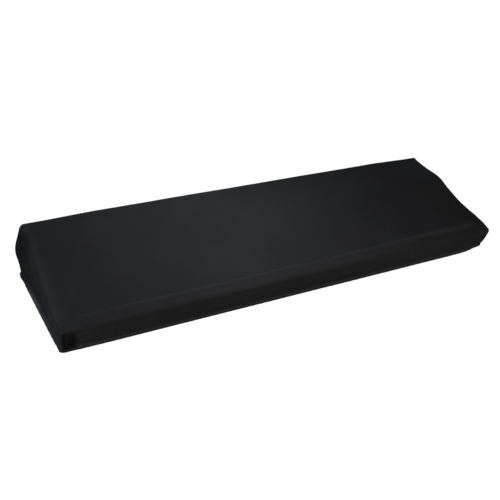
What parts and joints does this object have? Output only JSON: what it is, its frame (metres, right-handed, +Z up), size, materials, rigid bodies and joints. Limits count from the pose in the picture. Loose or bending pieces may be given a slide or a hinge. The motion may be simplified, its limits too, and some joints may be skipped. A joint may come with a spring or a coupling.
{
  "type": "piano cover",
  "caption": "Black stretch cloth dust cover for a stage piano: hollow hood with a low front face, sloped front strip, rising top, gusset ends and a drawn-in hem, open underneath.",
  "frame": {"origin": "the point on the underside of the flat rear part of the top, half-way along, where the instrument bears", "axes": "+X along the cover towards the end that is on the right when facing the keys, -Y towards the low front face, +Z up"},
  "size_m": [1.3703, 0.3833, 0.1618],
  "materials": {
    "cloth_front": "matt stretch knit",
    "cloth_top": "matt stretch knit",
    "cloth_ends": "matt stretch knit"
  },
  "bodies": {
    "root": {"front_band": "cloth_front", "top_back_panel": "cloth_top", "end_panel_left": "cloth_ends", "end_panel_right": "cloth_ends"}
  },
  "joints": []
}
